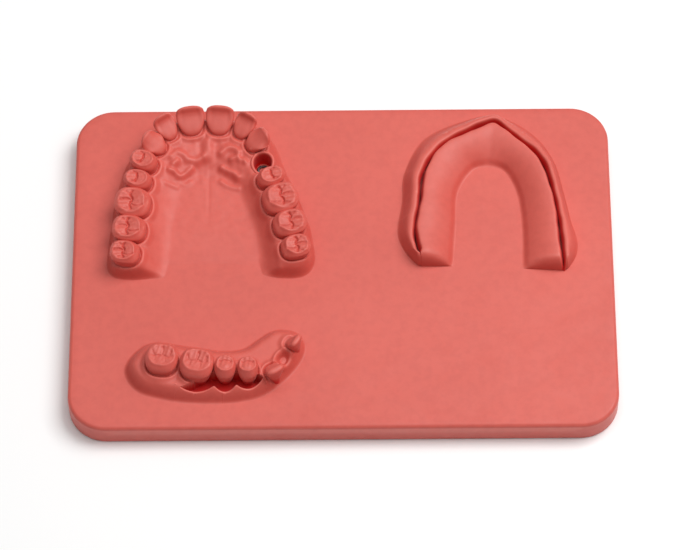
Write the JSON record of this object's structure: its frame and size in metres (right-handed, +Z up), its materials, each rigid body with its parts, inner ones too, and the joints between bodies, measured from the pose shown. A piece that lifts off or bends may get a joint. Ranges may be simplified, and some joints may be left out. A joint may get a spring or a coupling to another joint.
{
  "type": "dental suture practice pad",
  "caption": "Soft rectangular practice pad with three raised jaw models: a full upper arch with an empty socket, a lower segment with a gum flap, and a toothless ridge cut along its crest.",
  "frame": {"origin": "centre of the slab's underside", "axes": "+Z up out of the slab, +X along its long side to the right, +Y towards the back edge, where the front teeth of the upper arch stand"},
  "size_m": [0.17, 0.115, 0.0192],
  "materials": {
    "silicone": "soft matte salmon-pink silicone",
    "implant_metal": "dark grey machined titanium"
  },
  "bodies": {
    "pad": {"base_slab": "silicone", "maxillary_gum": "silicone", "implant_fixture": "implant_metal", "mandibular_gum": "silicone", "edentulous_ridge": "silicone", "edentulous_flap_front": "silicone", "upper_right_central_incisor": "silicone", "upper_right_lateral_incisor": "silicone", "upper_right_canine": "silicone", "upper_right_first_premolar": "silicone", "upper_right_second_premolar": "silicone", "upper_right_first_molar": "silicone", "upper_right_second_molar": "silicone", "upper_right_third_molar": "silicone", "upper_left_central_incisor": "silicone", "upper_left_lateral_incisor": "silicone", "upper_left_canine": "silicone", "upper_left_second_premolar": "silicone", "upper_left_first_molar": "silicone", "upper_left_second_molar": "silicone", "upper_left_third_molar": "silicone", "lower_right_second_molar": "silicone", "lower_right_first_molar": "silicone", "lower_right_second_premolar": "silicone", "lower_right_first_premolar": "silicone", "lower_right_canine": "silicone", "lower_right_central_incisor": "silicone"},
    "gum_flap": {"mandibular_flap": "silicone"},
    "left_lip": {"edentulous_flap_left": "silicone"},
    "right_lip": {"edentulous_flap_right": "silicone"}
  },
  "joints": [
    {"name": "gum_flap_fold", "type": "hinge", "parent": "pad", "child": "gum_flap", "pos_m": [-0.0375, -0.0488, 0.0085], "axis": [1, 0, 0], "range_deg": [0, 35], "stiffness_Nm_per_rad": 0.005},
    {"name": "left_lip_fold", "type": "hinge", "parent": "pad", "child": "left_lip", "pos_m": [0.017, 0.015, 0.0085], "axis": [0, -1, 0], "range_deg": [0, 35], "stiffness_Nm_per_rad": 0.005},
    {"name": "right_lip_fold", "type": "hinge", "parent": "pad", "child": "right_lip", "pos_m": [0.0728, 0.017, 0.0085], "axis": [-0.169, 0.9856, 0], "range_deg": [0, 35], "stiffness_Nm_per_rad": 0.005}
  ]
}
